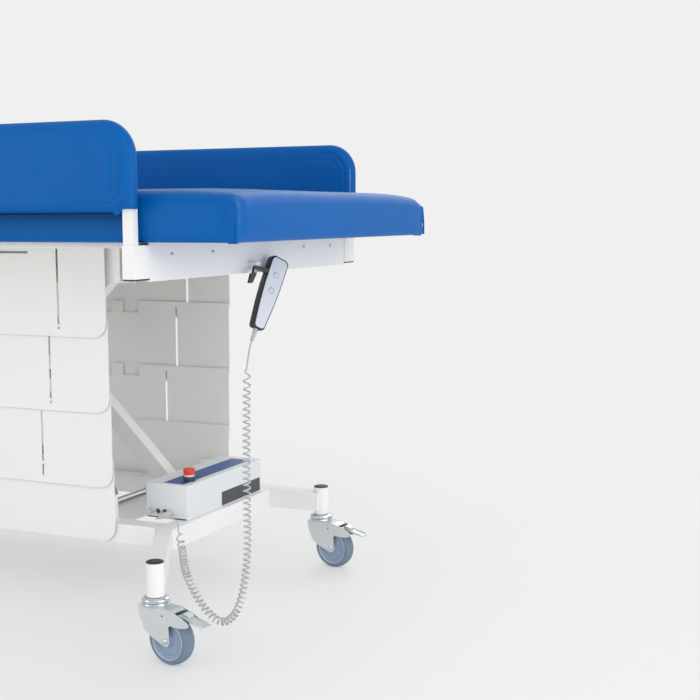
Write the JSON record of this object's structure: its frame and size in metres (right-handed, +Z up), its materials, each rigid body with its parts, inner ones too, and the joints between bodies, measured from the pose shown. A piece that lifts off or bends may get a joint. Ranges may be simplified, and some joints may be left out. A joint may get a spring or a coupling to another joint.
{
  "type": "mobile changing table",
  "caption": "Padded changing table on a scissor lift with telescoping guard panels, swivel casters, side rails, a control box and a handset on a curly cord.",
  "frame": {"origin": "on the floor, under the middle of the mattress and the side rails", "axes": "+X along the mattress towards the end with the control box and the handset, +Y to the far side, +Z up"},
  "size_m": [1.9, 1.104, 1.146],
  "materials": {
    "white_powder_coat": "white powder coat",
    "blue_vinyl": "blue coated upholstery fabric, smooth",
    "bright_steel": "bright turned steel",
    "box_plastic": "pale grey moulded plastic",
    "stop_red": "red moulded plastic",
    "handset_plastic": "dark moulded plastic",
    "key_plastic": "pale grey soft keys",
    "cord_plastic": "pale grey extruded cord jacket",
    "zinc_plate": "bright zinc plated pressed steel",
    "tyre_grey": "blue grey non-marking tyre",
    "white_board": "white laminated board"
  },
  "bodies": {
    "base": {"near_beam": "white_powder_coat", "far_beam": "white_powder_coat", "cross_beam_right": "white_powder_coat", "cross_beam_left": "white_powder_coat", "near_leg_right": "white_powder_coat", "near_leg_left": "white_powder_coat", "actuator_crossbar": "white_powder_coat", "control_box": "box_plastic", "handset_cord": "cord_plastic", "cord_plug": "cord_plastic", "panel_near_4": "white_powder_coat", "panel_far_4": "white_powder_coat"},
    "top": {"roller_channel_near": "white_powder_coat", "roller_channel_far": "white_powder_coat", "end_plate_right": "white_powder_coat", "end_plate_left": "white_powder_coat", "upper_pivot_bracket": "white_powder_coat", "base_board": "white_board", "mattress": "blue_vinyl", "panel_near_1": "white_powder_coat", "panel_far_1": "white_powder_coat", "handset": "handset_plastic"},
    "fixed_arm": {"fixed_foot_arm": "white_powder_coat", "lower_pivot_shaft": "bright_steel", "centre_shaft": "bright_steel", "lift_lug": "bright_steel"},
    "rolling_arm": {"rolling_foot_arm": "white_powder_coat", "upper_pivot_shaft": "bright_steel"},
    "lower_rollers": {"lower_roller_axle": "bright_steel"},
    "upper_rollers": {"upper_roller_axle": "bright_steel"},
    "actuator": {"actuator_body": "bright_steel"},
    "rod": {"actuator_rod": "bright_steel"},
    "panels_2": {"panel_near_2": "white_powder_coat", "panel_far_2": "white_powder_coat"},
    "panels_3": {"panel_near_3": "white_powder_coat", "panel_far_3": "white_powder_coat"},
    "rail_near": {"rail_pad_near": "blue_vinyl", "rail_post_near_right": "white_powder_coat", "rail_post_near_left": "white_powder_coat"},
    "rail_far": {"rail_pad_far": "blue_vinyl", "rail_post_far_right": "white_powder_coat", "rail_post_far_left": "white_powder_coat"},
    "e_stop": {"e_stop_button": "stop_red"},
    "up_key": {"key_up": "key_plastic"},
    "down_key": {"key_down": "key_plastic"},
    "caster_near_right": {"fork_near_right": "zinc_plate"},
    "roller_near_right": {"wheel_near_right": "tyre_grey"},
    "brake_near_right": {"pedal_near_right": "zinc_plate"},
    "caster_far_right": {"fork_far_right": "zinc_plate"},
    "roller_far_right": {"wheel_far_right": "tyre_grey"},
    "brake_far_right": {"pedal_far_right": "zinc_plate"},
    "caster_near_left": {"fork_near_left": "zinc_plate"},
    "roller_near_left": {"wheel_near_left": "tyre_grey"},
    "brake_near_left": {"pedal_near_left": "zinc_plate"},
    "caster_far_left": {"fork_far_left": "zinc_plate"},
    "roller_far_left": {"wheel_far_left": "tyre_grey"},
    "brake_far_left": {"pedal_far_left": "zinc_plate"}
  },
  "joints": [
    {"name": "lift", "type": "slide", "parent": "base", "child": "top", "axis": [0, 0, 1], "range_m": [-0.42, 0], "deforming": ["handset_cord"]},
    {"name": "fixed_arm_pivot", "type": "hinge", "parent": "base", "child": "fixed_arm", "pos_m": [0.325, 0.224, 0.2323], "axis": [0, 1, 0], "range_deg": [-33.3, 0]},
    {"name": "arm_cross_pivot", "type": "hinge", "parent": "fixed_arm", "child": "rolling_arm", "pos_m": [0.02089, -0.008, 0.53115], "axis": [0, 1, 0], "range_deg": [0, 66.6]},
    {"name": "lower_roller_spin", "type": "hinge", "parent": "rolling_arm", "child": "lower_rollers", "pos_m": [-0.28322, 0.162, 0.2323], "axis": [0, 1, 0], "continuous": true},
    {"name": "upper_roller_spin", "type": "hinge", "parent": "fixed_arm", "child": "upper_rollers", "pos_m": [-0.28322, 0.162, 0.83], "axis": [0, 1, 0], "continuous": true},
    {"name": "actuator_tilt", "type": "hinge", "parent": "base", "child": "actuator", "pos_m": [0.22, 0.108, 0.18], "axis": [0, 1, 0], "range_deg": [-36.2, 0]},
    {"name": "actuator_stroke", "type": "slide", "parent": "actuator", "child": "rod", "axis": [-0.4277, 0, 0.9039], "range_m": [-0.066, 0]},
    {"name": "panels_2_slide", "type": "slide", "parent": "base", "child": "panels_2", "axis": [0, 0, 1], "range_m": [-0.28, 0]},
    {"name": "panels_3_slide", "type": "slide", "parent": "base", "child": "panels_3", "axis": [0, 0, 1], "range_m": [-0.14, 0]},
    {"name": "swivel_near_right", "type": "hinge", "parent": "base", "child": "caster_near_right", "pos_m": [0.685, -0.411, 0.13], "axis": [0, 0, 1], "continuous": true},
    {"name": "wheel_spin_near_right", "type": "hinge", "parent": "caster_near_right", "child": "roller_near_right", "pos_m": [0.72932, -0.41881, 0.055], "axis": [0.1736, 0.9848, 0], "continuous": true},
    {"name": "brake_press_near_right", "type": "hinge", "parent": "caster_near_right", "child": "brake_near_right", "pos_m": [0.75984, -0.4242, 0.111], "axis": [0.1736, 0.9848, 0], "range_deg": [0, 12]},
    {"name": "swivel_far_right", "type": "hinge", "parent": "base", "child": "caster_far_right", "pos_m": [0.685, 0.411, 0.13], "axis": [0, 0, 1], "continuous": true},
    {"name": "wheel_spin_far_right", "type": "hinge", "parent": "caster_far_right", "child": "roller_far_right", "pos_m": [0.72932, 0.40319, 0.055], "axis": [0.1736, 0.9848, 0], "continuous": true},
    {"name": "brake_press_far_right", "type": "hinge", "parent": "caster_far_right", "child": "brake_far_right", "pos_m": [0.75984, 0.3978, 0.111], "axis": [0.1736, 0.9848, 0], "range_deg": [0, 12]},
    {"name": "swivel_near_left", "type": "hinge", "parent": "base", "child": "caster_near_left", "pos_m": [-0.685, -0.411, 0.13], "axis": [0, 0, 1], "continuous": true},
    {"name": "wheel_spin_near_left", "type": "hinge", "parent": "caster_near_left", "child": "roller_near_left", "pos_m": [-0.64068, -0.41881, 0.055], "axis": [0.1736, 0.9848, 0], "continuous": true},
    {"name": "brake_press_near_left", "type": "hinge", "parent": "caster_near_left", "child": "brake_near_left", "pos_m": [-0.61016, -0.4242, 0.111], "axis": [0.1736, 0.9848, 0], "range_deg": [0, 12]},
    {"name": "swivel_far_left", "type": "hinge", "parent": "base", "child": "caster_far_left", "pos_m": [-0.685, 0.411, 0.13], "axis": [0, 0, 1], "continuous": true},
    {"name": "wheel_spin_far_left", "type": "hinge", "parent": "caster_far_left", "child": "roller_far_left", "pos_m": [-0.64068, 0.40319, 0.055], "axis": [0.1736, 0.9848, 0], "continuous": true},
    {"name": "brake_press_far_left", "type": "hinge", "parent": "caster_far_left", "child": "brake_far_left", "pos_m": [-0.61016, 0.3978, 0.111], "axis": [0.1736, 0.9848, 0], "range_deg": [0, 12]},
    {"name": "rail_near_lift", "type": "slide", "parent": "top", "child": "rail_near", "axis": [0, 0, 1], "range_m": [0, 0.06]},
    {"name": "rail_far_lift", "type": "slide", "parent": "top", "child": "rail_far", "axis": [0, 0, 1], "range_m": [0, 0.06]},
    {"name": "e_stop_press", "type": "slide", "parent": "base", "child": "e_stop", "axis": [0, 0, 1], "range_m": [-0.004, 0]},
    {"name": "up_key_press", "type": "slide", "parent": "top", "child": "up_key", "axis": [0.8749, -0.464, 0.1388], "range_m": [-0.0015, 0], "stiffness_N_per_m": 800},
    {"name": "down_key_press", "type": "slide", "parent": "top", "child": "down_key", "axis": [0.8749, -0.464, 0.1388], "range_m": [-0.0015, 0], "stiffness_N_per_m": 800}
  ],
  "couplings": [
    {"joint": "fixed_arm_pivot", "follows": "lift", "rad_per_m": 1.383},
    {"joint": "arm_cross_pivot", "follows": "lift", "rad_per_m": -2.766},
    {"joint": "actuator_tilt", "follows": "lift", "rad_per_m": 1.5021},
    {"joint": "actuator_stroke", "follows": "lift", "ratio": 0.1566},
    {"joint": "panels_2_slide", "follows": "lift", "ratio": 0.6666},
    {"joint": "panels_3_slide", "follows": "lift", "ratio": 0.3333}
  ]
}
